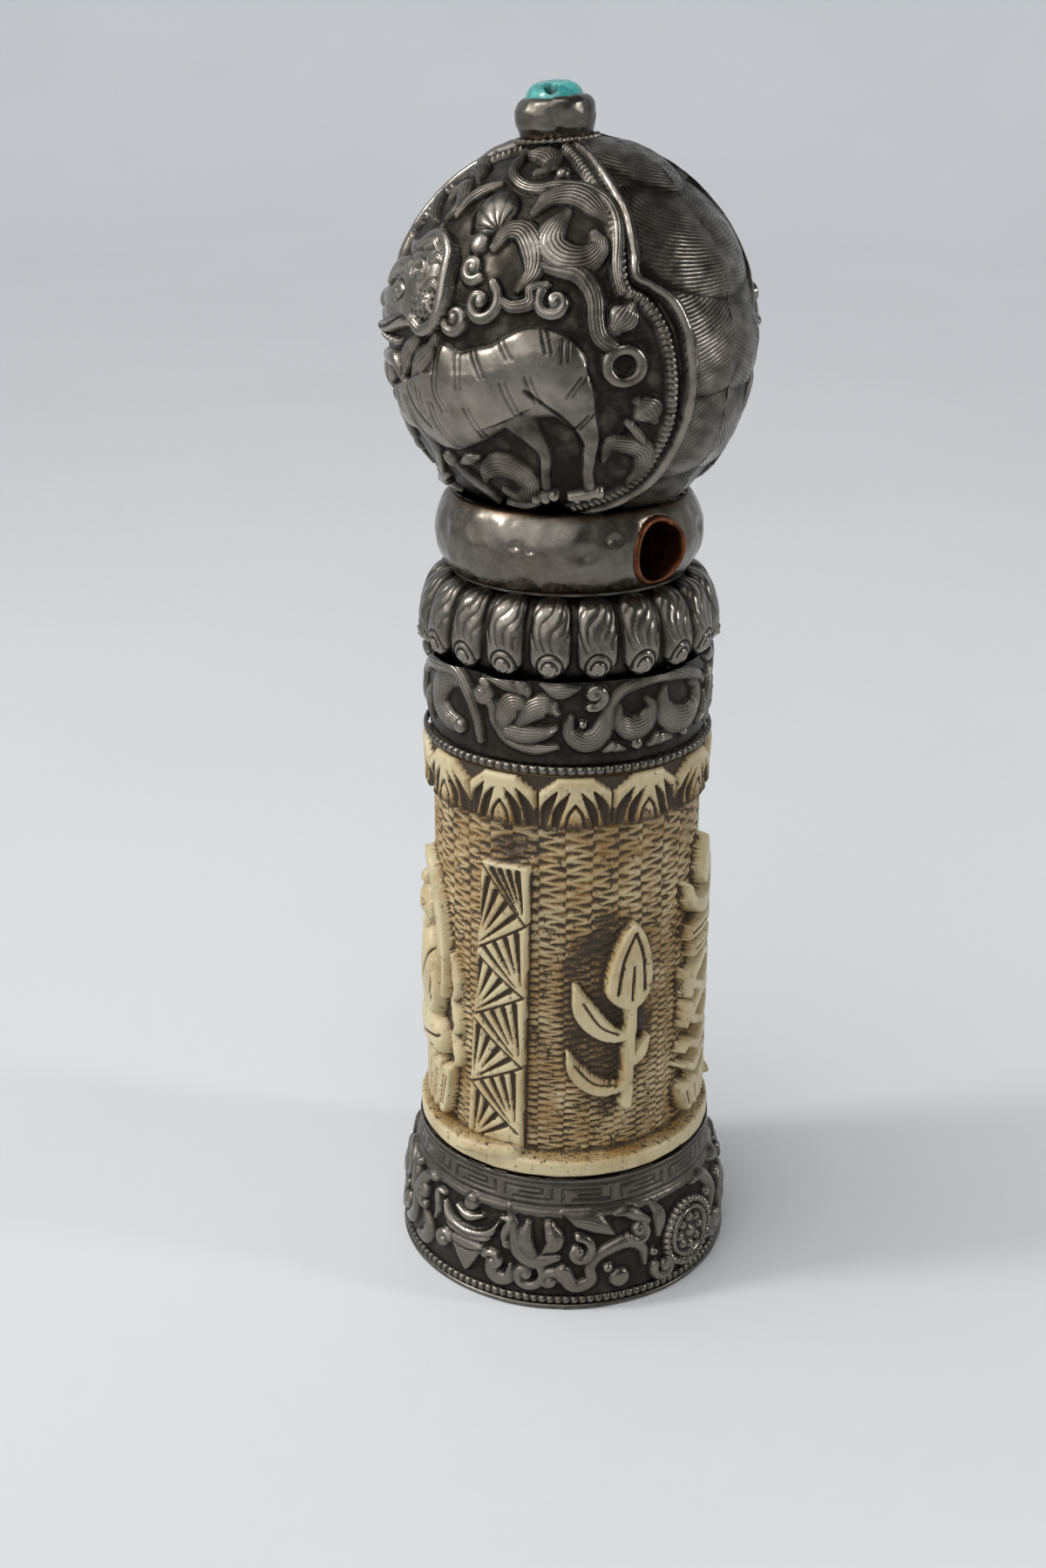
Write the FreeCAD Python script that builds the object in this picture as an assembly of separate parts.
import FreeCAD, Part
import math
import os
from FreeCAD import Vector

# A standing prayer wheel: a flared silver foot carries a spindle, a carved bone drum
# turns on the spindle round its rolled prayers, and a silver cap with a globe on a
# neck ring lifts off the spindle's square end.
# Millimetres. +Z is up, the origin is the centre of the foot's underside, and the
# front faces -Y. An azimuth is measured from the front towards +X, in degrees.

# ---- driving dimensions -------------------------------------------------------

# metal stock and clearances
SHEET = 0.8               # silver sheet of the shells
PLATE = 1.0               # discs that close and stiffen the shells
RUNNING_GAP = 0.05        # radial and axial gap of the turning and lifting fits
BODY_GAP = 0.3            # gap under the turning drum, at its outer edge

# foot
RIM_RADIUS = 31.8         # plain rim that the whole piece stands on
FOOT_RADIUS = 30.9        # foot shell just above the rim
FOOT_BELLY_RADIUS = 30.6  # relief zone half way up
FOOT_WAIST_RADIUS = 28.9  # where the relief zone meets the fret band
FOOT_TOP_RADIUS = 28.0
FOOT_HEIGHT = 26.0
FOOT_WAIST_Z = 18.4
FOOT_WIRE_HEIGHT = 1.7
FOOT_WIRE_STAND = 0.8     # how far the milled wire stands out of the shell
FOOT_WIRE_SEAT = 0.05     # flat land of the wire outside the shell
FOOT_PLAIN_EDGE = 0.5     # plain shell above the milled wire

# spindle and its fastening
SPINDLE_RADIUS = 3.5
SHOULDER_LEDGE = 0.4      # left round the corners of the square end
SPINDLE_FLANGE_STAND = 4.5
SPINDLE_FLANGE = 1.2
SPINDLE_END_RADIUS = 2.5  # threaded lower end
SPINDLE_TAIL = 7.0        # how far the threaded end hangs below the foot's seat
SQUARE_LENGTH = 26.0      # square upper end that the cap sits on
WASHER_RADIUS = 6.0
WASHER = 0.8
NUT_FLATS = 8.0
NUT_HEIGHT = 4.0

# bone drum
BONE_RADIUS = 24.4        # cut ground between the carvings
BONE_BORE_RADIUS = 19.0
DRUM_HEIGHT = 78.1
DRUM_RIM_RADIUS = 28.0    # plain ring at the drum's lower edge
DRUM_RIM_HEIGHT = 3.4
LOTUS_BAND_RADIUS = 26.4  # band of petals at the drum's upper edge
LOTUS_BAND_HEIGHT = 9.2
LOTUS_BAND_PETALS = 12
PETAL_AZIMUTH = 18.4      # middle of the first cut between petals
PETAL_CUT = 0.9           # depth of the cuts between petals and between lobes
PETAL_CUT_SWEEP = 2.0     # width of a cut between petals, in degrees
PETAL_FOOT = 2.0          # band left plain below the cuts
PETAL_CROWN = 1.0         # band left plain above the cuts
BONE_EDGE = 0.5           # bevel of the turned bone edges
CARVING_ROOT = 1.0        # how deep a carved block is rooted in the ground
DISC = 3.0                # drum floor and lid
LID_RECESS = 0.2          # upper bush below the drum's upper edge
BUSH_WALL = 2.0
BUSH_FLANGE_STAND = 2.0
BUSH_FLANGE = 1.0

# rolled prayers inside the drum
CORE_GAP = 0.6            # spindle to core
CORE_WALL = 1.4
SCROLL_ROOM = 1.6         # bone bore to rolled prayers
SCROLL_END_GAP = 1.5
TIE_WIDTH = 12.0
TIE = 0.5

# cap: collar and lotus ring
CAP_GAP = 0.7             # collar wire above the drum's upper edge
COLLAR_RADIUS = 25.3
COLLAR_WIRE_HEIGHT = 1.6
COLLAR_WIRE_STAND = 0.8
COLLAR_HEIGHT = 16.5      # wire and band together
LOTUS_SWELL = 1.2         # belly beyond the collar
LOTUS_DRAW_IN = 3.7       # crown inside the collar
LOTUS_HEIGHT = 13.6
LOTUS_BELLY_RISE = 5.0
LOTUS_WALL = 1.8
GADROONS = 20
GADROON_AZIMUTH = 2.3     # middle of the first groove between lobes
GADROON_SWEEP = 2.4       # width of a groove, in degrees
SOCKET_WALL = 1.0         # thinnest wall, at the corners of the square bore
SOCKET_ROOM = 0.8         # above the spindle's square end

# cap: neck ring with its copper-lined cord hole
NECK_PLATE = 0.5
NECK_FOOT_INSET = 0.4     # ring's foot inside the lotus ring's crown
NECK_SWELL = 2.4          # belly beyond the foot
NECK_TOP_DRAW_IN = 0.6    # top edge inside the foot
NECK_LIP = 2.0            # turned-in upper edge that the globe sits on
CORD_AZIMUTH = 42.0
CORD_BORE_RADIUS = 5.0
CORD_TUBE_WALL = 1.0
CORD_TUBE_PROUD = 0.25    # copper lip standing out of the ring
CORD_TUBE_ROOM = 0.25     # above and below the tube inside the ring

# cap: globe
GLOBE_RADIUS = 31.0
GLOBE_HALF_HEIGHT = 32.2
GLOBE_FOOT_INSET = 1.55   # globe's cut edge inside the ring's upper edge
SEAM_AZIMUTH = 55.0       # upright seam between the two half shells

# cap: finial
FINIAL_LEAN = 4.5         # degrees towards -X
FINIAL_SINK = 3.0         # cup's foot below the globe's crown, before it is trimmed
BEZEL_RADIUS = 6.4
BEZEL_WALL = 1.1
BEZEL_RISE = 6.2          # from the globe's crown to the lip
BEZEL_FLOOR = 1.6
BEZEL_LIP_RADIUS = 4.9
BEZEL_LIP = 0.8           # thickness of the folded lip
BEZEL_BEND = 2.0          # height over which the cup rounds in to its lip
BEZEL_BEND_INSET = 0.35   # cup at the middle of that bend, inside its full radius
BEZEL_BEND_DROP = 0.7     # middle of that bend below the lip
STONE_STAND = 2.3         # stone above the lip
STONE_SHOULDER = 0.84     # share of the lip radius where the stone's dome turns
STONE_SHOULDER_DROP = 0.8
STONE_HOLE_RADIUS = 0.8
STONE_HOLE_FORWARD = 2.2  # hole towards the front
STONE_HOLE_ROOM = 0.5     # hole deeper than the stone stands above the lip
BEAD_WIRE_RADIUS = 0.5
BEAD_WIRE_DROP = 0.35     # middle of the bead wire below the globe's crown

# carvings on the drum, as plain raised blocks: azimuth, width in degrees, lowest and
# highest point above the drum's lower edge, and height above the ground
CARVINGS = {
    "strip": [(-27, 22, 3.0, 61.0, 1.8), (120, 22, 3.0, 61.0, 1.8), (-151, 22, 3.0, 61.0, 1.8)],
    "bud": [(19, 32, 13.0, 49.5, 1.8), (165, 32, 13.0, 49.5, 1.8)],
    "stack": [(74, 34, 5.9, 60.7, 2.5)],
    "figure": [(-81, 50, 5.3, 55.0, 3.0)],
}

# ---- levels worked out from the dimensions --------------------------------------

SEAT_Z = FOOT_HEIGHT
DRUM_Z = SEAT_Z + BODY_GAP
DRUM_TOP = DRUM_Z + DRUM_HEIGHT
THRUST_Z = SEAT_Z + SPINDLE_FLANGE
SPINDLE_FLANGE_RADIUS = SPINDLE_RADIUS + SPINDLE_FLANGE_STAND
SQUARE = (SPINDLE_RADIUS - SHOULDER_LEDGE) * math.sqrt(2)
BUSH_Z = THRUST_Z + WASHER + RUNNING_GAP
FLOOR_Z = BUSH_Z + BUSH_FLANGE
FLOOR_TOP = FLOOR_Z + DISC
LID_TOP = DRUM_TOP - LID_RECESS - BUSH_FLANGE
LID_Z = LID_TOP - DISC
SCROLL_RADIUS = BONE_BORE_RADIUS - SCROLL_ROOM
BUSH_RADIUS = SPINDLE_RADIUS + RUNNING_GAP + BUSH_WALL
BUSH_FLANGE_RADIUS = BUSH_RADIUS + BUSH_FLANGE_STAND
CAP_Z = DRUM_TOP + CAP_GAP
BAND_Z = CAP_Z + COLLAR_WIRE_HEIGHT
LOTUS_Z = CAP_Z + COLLAR_HEIGHT
PLATE_Z = LOTUS_Z + LOTUS_HEIGHT
SHOULDER_Z = CAP_Z + COLLAR_WIRE_HEIGHT / 2
SQUARE_TOP = SHOULDER_Z + SQUARE_LENGTH
SOCKET_RADIUS = (SQUARE / 2 + RUNNING_GAP) * math.sqrt(2) + SOCKET_WALL
LOTUS_BELLY_RADIUS = COLLAR_RADIUS + LOTUS_SWELL
LOTUS_TOP_RADIUS = COLLAR_RADIUS - LOTUS_DRAW_IN
NECK_Z = PLATE_Z + NECK_PLATE
NECK_FOOT_RADIUS = LOTUS_TOP_RADIUS - NECK_FOOT_INSET
NECK_BELLY_RADIUS = NECK_FOOT_RADIUS + NECK_SWELL
NECK_TOP_RADIUS = NECK_FOOT_RADIUS - NECK_TOP_DRAW_IN
NECK_REACH = NECK_BELLY_RADIUS + 5   # cord rods run this far each way, past the ring
CORD_TUBE_RADIUS = CORD_BORE_RADIUS + CORD_TUBE_WALL
CORD_Z = NECK_Z + CORD_TUBE_ROOM + CORD_TUBE_RADIUS
NECK_TOP = CORD_Z + CORD_TUBE_RADIUS + CORD_TUBE_ROOM + SHEET
GLOBE_CUT = math.sqrt(1 - ((NECK_TOP_RADIUS - GLOBE_FOOT_INSET) / GLOBE_RADIUS) ** 2)
GLOBE_Z = NECK_TOP + GLOBE_HALF_HEIGHT * GLOBE_CUT

ORIGIN = Vector(0, 0, 0)
UP = Vector(0, 0, 1)


# ---- shape helpers ----------------------------------------------------------------

def outline(start, *steps):
    """Closed wire of (radius, height) points; a pair of points is an arc's middle and end."""
    edges = []
    here = Vector(start[0], 0, start[1])
    home = here
    for step in steps:
        if isinstance(step[0], tuple):
            middle = Vector(step[0][0], 0, step[0][1])
            there = Vector(step[1][0], 0, step[1][1])
            edges.append(Part.Arc(here, middle, there).toShape())
        else:
            there = Vector(step[0], 0, step[1])
            edges.append(Part.makeLine(here, there))
        here = there
    if here.distanceToPoint(home) > 1e-6:
        edges.append(Part.makeLine(here, home))
    return Part.Wire(edges)


def turned(start, *steps, azimuth=90.0, sweep=360.0):
    """Solid turned about the Z axis from an outline, from one azimuth through a sweep."""
    solid = Part.Face(outline(start, *steps)).revolve(ORIGIN, UP, sweep)
    solid.rotate(ORIGIN, UP, azimuth - 90.0)
    return solid


def ring(inner, outer, low, high, azimuth=90.0, sweep=360.0):
    """Plain ring between two radii and two levels, or a sector of it."""
    return turned((inner, low), (outer, low), (outer, high), (inner, high),
                  azimuth=azimuth, sweep=sweep)


def disc(radius, low, high):
    return Part.makeCylinder(radius, high - low, Vector(0, 0, low))


def half_round_wire(inner, shell, stand, low, high):
    """Ring of half-round wire, rounded where it stands out of the shell's outer radius."""
    middle = (low + high) / 2
    return turned((inner, low), (shell, low), ((shell + stand, middle), (shell, high)),
                  (inner, high))


def square_bar(flats, low, high):
    return Part.makeBox(flats, flats, high - low, Vector(-flats / 2, -flats / 2, low))


def save(name, shape):
    shape.exportStep(os.path.join("parts", name + ".step"))


# ---- foot -----------------------------------------------------------------------------

def foot_shell():
    """Flared sheet shell: plain edge, swelling relief zone, sloping fret band."""
    relief_low = PLATE + FOOT_WIRE_HEIGHT + FOOT_PLAIN_EDGE
    belly_z = (relief_low + FOOT_WAIST_Z) / 2
    seat_low = SEAT_Z - PLATE
    return turned(
        (FOOT_RADIUS - SHEET, PLATE), (FOOT_RADIUS, PLATE), (FOOT_RADIUS, relief_low),
        ((FOOT_BELLY_RADIUS, belly_z), (FOOT_WAIST_RADIUS, FOOT_WAIST_Z)),
        (FOOT_TOP_RADIUS, SEAT_Z), (FOOT_TOP_RADIUS - SHEET, SEAT_Z),
        (FOOT_TOP_RADIUS - SHEET, seat_low), (FOOT_WAIST_RADIUS - SHEET, FOOT_WAIST_Z),
        ((FOOT_BELLY_RADIUS - SHEET, belly_z), (FOOT_RADIUS - SHEET, relief_low)))


def foot_seat():
    hole = SPINDLE_END_RADIUS + RUNNING_GAP
    return ring(hole, FOOT_TOP_RADIUS - SHEET, SEAT_Z - PLATE, SEAT_Z)


def spindle():
    """Rod with a flange on the seat, a threaded tail below and a square end above."""
    tail_z = SEAT_Z - PLATE - SPINDLE_TAIL
    rod = turned(
        (0, tail_z), (SPINDLE_END_RADIUS, tail_z), (SPINDLE_END_RADIUS, SEAT_Z),
        (SPINDLE_FLANGE_RADIUS, SEAT_Z), (SPINDLE_FLANGE_RADIUS, THRUST_Z),
        (SPINDLE_RADIUS, THRUST_Z), (SPINDLE_RADIUS, SHOULDER_Z), (0, SHOULDER_Z))
    return rod.fuse(square_bar(SQUARE, SHOULDER_Z, SQUARE_TOP))


def spindle_nut():
    top = SEAT_Z - PLATE - WASHER
    corner = NUT_FLATS / math.sqrt(3)
    corners = [Vector(corner * math.cos(math.radians(60 * i)),
                      corner * math.sin(math.radians(60 * i)), top - NUT_HEIGHT)
               for i in range(6)]
    hexagon = Part.Face(Part.makePolygon(corners + corners[:1]))
    return hexagon.extrude(UP * NUT_HEIGHT).cut(disc(SPINDLE_END_RADIUS, top - NUT_HEIGHT, top))


def build_foot():
    save("base_plate", disc(RIM_RADIUS, 0, PLATE))
    save("foot_shell", foot_shell())
    save("foot_wire", half_round_wire(FOOT_RADIUS, FOOT_RADIUS + FOOT_WIRE_SEAT,
                                      FOOT_WIRE_STAND, PLATE, PLATE + FOOT_WIRE_HEIGHT))
    save("foot_seat", foot_seat())
    save("spindle", spindle())
    save("seat_washer", ring(SPINDLE_END_RADIUS + RUNNING_GAP, WASHER_RADIUS,
                             SEAT_Z - PLATE - WASHER, SEAT_Z - PLATE))
    save("spindle_nut", spindle_nut())
    save("thrust_washer", ring(SPINDLE_RADIUS + RUNNING_GAP, SPINDLE_FLANGE_RADIUS,
                               THRUST_Z, THRUST_Z + WASHER))


# ---- drum -----------------------------------------------------------------------------

def drum_shell():
    """Bone tube with a plain lower ring, a band of petals and the raised carvings."""
    band_z = DRUM_TOP - LOTUS_BAND_HEIGHT
    rim_top = DRUM_Z + DRUM_RIM_HEIGHT
    shell = turned(
        (BONE_BORE_RADIUS, DRUM_Z), (DRUM_RIM_RADIUS - BONE_EDGE, DRUM_Z),
        (DRUM_RIM_RADIUS, DRUM_Z + BONE_EDGE), (DRUM_RIM_RADIUS, rim_top - BONE_EDGE),
        (DRUM_RIM_RADIUS - BONE_EDGE, rim_top), (BONE_RADIUS, rim_top), (BONE_RADIUS, band_z),
        (LOTUS_BAND_RADIUS - BONE_EDGE, band_z), (LOTUS_BAND_RADIUS, band_z + 2 * BONE_EDGE),
        (LOTUS_BAND_RADIUS, DRUM_TOP - BONE_EDGE), (LOTUS_BAND_RADIUS - BONE_EDGE, DRUM_TOP),
        (BONE_BORE_RADIUS, DRUM_TOP))
    blocks = []
    for places in CARVINGS.values():
        for azimuth, width, low, high, stand in places:
            blocks.append(ring(BONE_RADIUS - CARVING_ROOT, BONE_RADIUS + stand, DRUM_Z + low,
                               DRUM_Z + high, azimuth - width / 2, width))
    shell = shell.fuse(blocks)
    pitch = 360.0 / LOTUS_BAND_PETALS
    first = PETAL_AZIMUTH - PETAL_CUT_SWEEP / 2
    cuts = [ring(LOTUS_BAND_RADIUS - PETAL_CUT, LOTUS_BAND_RADIUS + 1, band_z + PETAL_FOOT,
                 DRUM_TOP - PETAL_CROWN, first + i * pitch, PETAL_CUT_SWEEP)
            for i in range(LOTUS_BAND_PETALS)]
    return shell.cut(cuts)


def lower_bush():
    bore = SPINDLE_RADIUS + RUNNING_GAP
    return turned((bore, BUSH_Z), (BUSH_FLANGE_RADIUS, BUSH_Z), (BUSH_FLANGE_RADIUS, FLOOR_Z),
                  (BUSH_RADIUS, FLOOR_Z), (BUSH_RADIUS, FLOOR_TOP), (bore, FLOOR_TOP))


def upper_bush():
    bore = SPINDLE_RADIUS + RUNNING_GAP
    top = LID_TOP + BUSH_FLANGE
    return turned((bore, LID_Z), (BUSH_RADIUS, LID_Z), (BUSH_RADIUS, LID_TOP),
                  (BUSH_FLANGE_RADIUS, LID_TOP), (BUSH_FLANGE_RADIUS, top), (bore, top))


def build_drum():
    core_bore = SPINDLE_RADIUS + CORE_GAP
    core_radius = core_bore + CORE_WALL
    scroll_low = FLOOR_TOP + SCROLL_END_GAP
    scroll_high = LID_Z - SCROLL_END_GAP
    tie_low = (scroll_low + scroll_high - TIE_WIDTH) / 2
    save("drum_shell", drum_shell())
    save("drum_floor", ring(BUSH_RADIUS, BONE_BORE_RADIUS, FLOOR_Z, FLOOR_TOP))
    save("drum_lid", ring(BUSH_RADIUS, BONE_BORE_RADIUS, LID_Z, LID_TOP))
    save("lower_bush", lower_bush())
    save("upper_bush", upper_bush())
    save("scroll_core", ring(core_bore, core_radius, FLOOR_TOP, LID_Z))
    save("prayer_scroll", ring(core_radius, SCROLL_RADIUS, scroll_low, scroll_high))
    save("scroll_tie", ring(SCROLL_RADIUS, SCROLL_RADIUS + TIE, tie_low, tie_low + TIE_WIDTH))


# ---- cap: collar, lotus ring and socket --------------------------------------------------

def lotus_outline(offset):
    """The lotus ring's outer line, moved out by an offset: foot, belly and crown points."""
    foot = (COLLAR_RADIUS + offset, LOTUS_Z)
    belly = (LOTUS_BELLY_RADIUS + offset, LOTUS_Z + LOTUS_BELLY_RISE)
    crown = (LOTUS_TOP_RADIUS + offset, PLATE_Z)
    return foot, belly, crown


def lotus_ring():
    """Swelling ring, its lobes parted by upright grooves of even depth."""
    foot, belly, crown = lotus_outline(0)
    inner_foot, inner_belly, inner_crown = lotus_outline(-LOTUS_WALL)
    body = turned(inner_foot, foot, (belly, crown), inner_crown, (inner_belly, inner_foot))
    low, swell, high = lotus_outline(-PETAL_CUT)
    low_out, swell_out, high_out = lotus_outline(1.0)
    pitch = 360.0 / GADROONS
    first = GADROON_AZIMUTH - GADROON_SWEEP / 2
    grooves = [turned(low, low_out, (swell_out, high_out), high, (swell, low),
                      azimuth=first + i * pitch, sweep=GADROON_SWEEP) for i in range(GADROONS)]
    return body.cut(grooves)


def spindle_socket():
    body = disc(SOCKET_RADIUS, SHOULDER_Z, PLATE_Z)
    return body.cut(square_bar(SQUARE + 2 * RUNNING_GAP, SHOULDER_Z, SQUARE_TOP + SOCKET_ROOM))


def build_collar():
    save("collar_wire", half_round_wire(COLLAR_RADIUS - SHEET, COLLAR_RADIUS,
                                        COLLAR_WIRE_STAND, CAP_Z, BAND_Z))
    save("collar_band", ring(COLLAR_RADIUS - SHEET, COLLAR_RADIUS, BAND_Z, LOTUS_Z))
    save("cap_floor", ring(SOCKET_RADIUS, COLLAR_RADIUS - SHEET, BAND_Z, BAND_Z + PLATE))
    save("spindle_socket", spindle_socket())
    save("lotus_ring", lotus_ring())
    save("neck_plate", disc(LOTUS_TOP_RADIUS - SHEET, PLATE_Z, NECK_Z))


# ---- cap: neck ring and cord tube ----------------------------------------------------------

def neck_outline(offset):
    foot = (NECK_FOOT_RADIUS + offset, NECK_Z)
    belly = (NECK_BELLY_RADIUS + offset, (NECK_Z + NECK_TOP) / 2)
    top = (NECK_TOP_RADIUS + offset, NECK_TOP)
    return foot, belly, top


def cord_rod(radius):
    """Rod along the cord hole, right through the neck ring."""
    angle = math.radians(CORD_AZIMUTH)
    along = Vector(math.sin(angle), -math.cos(angle), 0)
    start = Vector(0, 0, CORD_Z) - along * NECK_REACH
    return Part.makeCylinder(radius, 2 * NECK_REACH, start, along)


def neck_ring():
    """Hollow swelling ring, open inside, with a turned-in lip under the globe."""
    foot, belly, top = neck_outline(0)
    inner_foot, inner_belly, inner_top = neck_outline(-SHEET)
    lip = NECK_TOP_RADIUS - NECK_LIP
    shell = turned(inner_foot, foot, (belly, top), inner_top, (inner_belly, inner_foot))
    shell = shell.fuse(ring(lip, NECK_TOP_RADIUS - SHEET / 2, NECK_TOP - SHEET, NECK_TOP))
    return shell.cut(cord_rod(CORD_TUBE_RADIUS)).removeSplitter()


def cord_tube():
    """Copper lining of the cord hole, its ends trimmed to the ring's curve."""
    foot, belly, top = neck_outline(CORD_TUBE_PROUD)
    envelope = turned((0, NECK_Z), foot, (belly, top), (0, NECK_TOP))
    tube = cord_rod(CORD_TUBE_RADIUS).cut(cord_rod(CORD_BORE_RADIUS))
    return tube.common(envelope)


def build_neck():
    save("neck_ring", neck_ring())
    save("cord_tube", cord_tube())


# ---- cap: globe and finial -------------------------------------------------------------------

def egg(radius, half_height):
    """Solid of revolution of half an ellipse, centred on the globe's middle."""
    top = Vector(0, 0, half_height)
    ellipse = Part.Ellipse(top, Vector(radius, 0, 0), ORIGIN)
    side = Part.ArcOfEllipse(ellipse, 0, math.pi).toShape()
    solid = Part.Face(Part.Wire([side, Part.makeLine(-top, top)])).revolve(ORIGIN, UP, 360)
    solid.translate(Vector(0, 0, GLOBE_Z))
    return solid


def globe_half(side):
    """One half shell, cut by the upright seam; side is 1 for the front half, -1 for the back."""
    reach = 2 * GLOBE_HALF_HEIGHT
    shell = egg(GLOBE_RADIUS, GLOBE_HALF_HEIGHT).cut(
        egg(GLOBE_RADIUS - SHEET, GLOBE_HALF_HEIGHT - SHEET))
    keep = Part.makeBox(2 * reach, reach, reach, Vector(-reach, 0, NECK_TOP))
    turn = SEAM_AZIMUTH - 90 + (180 if side > 0 else 0)
    keep.rotate(ORIGIN, UP, turn)
    return shell.common(keep)


def leaned(shape):
    """Leans a finial piece about the globe's middle."""
    shape.rotate(Vector(0, 0, GLOBE_Z), Vector(0, 1, 0), -FINIAL_LEAN)
    return shape


def build_globe():
    globe = egg(GLOBE_RADIUS, GLOBE_HALF_HEIGHT)
    crown = GLOBE_Z + GLOBE_HALF_HEIGHT
    sunk = crown - FINIAL_SINK
    floor = crown + BEZEL_FLOOR
    lip = crown + BEZEL_RISE
    bore = BEZEL_RADIUS - BEZEL_WALL
    bend = (BEZEL_RADIUS - BEZEL_BEND_INSET, lip - BEZEL_BEND_DROP)
    bezel = turned(
        (0, sunk), (BEZEL_RADIUS, sunk), (BEZEL_RADIUS, lip - BEZEL_BEND),
        (bend, (BEZEL_LIP_RADIUS, lip)), (BEZEL_LIP_RADIUS, lip - BEZEL_LIP),
        (bore, lip - 2 * BEZEL_LIP), (bore, floor), (0, floor))
    top = lip + STONE_STAND
    shoulder = (BEZEL_LIP_RADIUS * STONE_SHOULDER, top - STONE_SHOULDER_DROP)
    stone = turned(
        (0, floor), (bore, floor), (bore, lip - 2 * BEZEL_LIP),
        (BEZEL_LIP_RADIUS, lip - BEZEL_LIP), (BEZEL_LIP_RADIUS, lip), (shoulder, (0, top)))
    drill = Part.makeCylinder(STONE_HOLE_RADIUS, STONE_STAND + 2 * STONE_HOLE_ROOM,
                              Vector(0, -STONE_HOLE_FORWARD, lip - STONE_HOLE_ROOM), UP)
    wire = Part.makeTorus(BEZEL_RADIUS + BEAD_WIRE_RADIUS, BEAD_WIRE_RADIUS,
                          Vector(0, 0, crown - BEAD_WIRE_DROP))
    wire = wire.cut(disc(BEZEL_RADIUS, sunk, lip))
    save("globe_front", globe_half(1))
    save("globe_back", globe_half(-1))
    save("finial_bezel", leaned(bezel).cut(globe))
    save("finial_stone", leaned(stone.cut(drill)))
    save("bezel_wire", leaned(wire).cut(globe))


os.makedirs("parts", exist_ok=True)
build_foot()
build_drum()
build_collar()
build_neck()
build_globe()
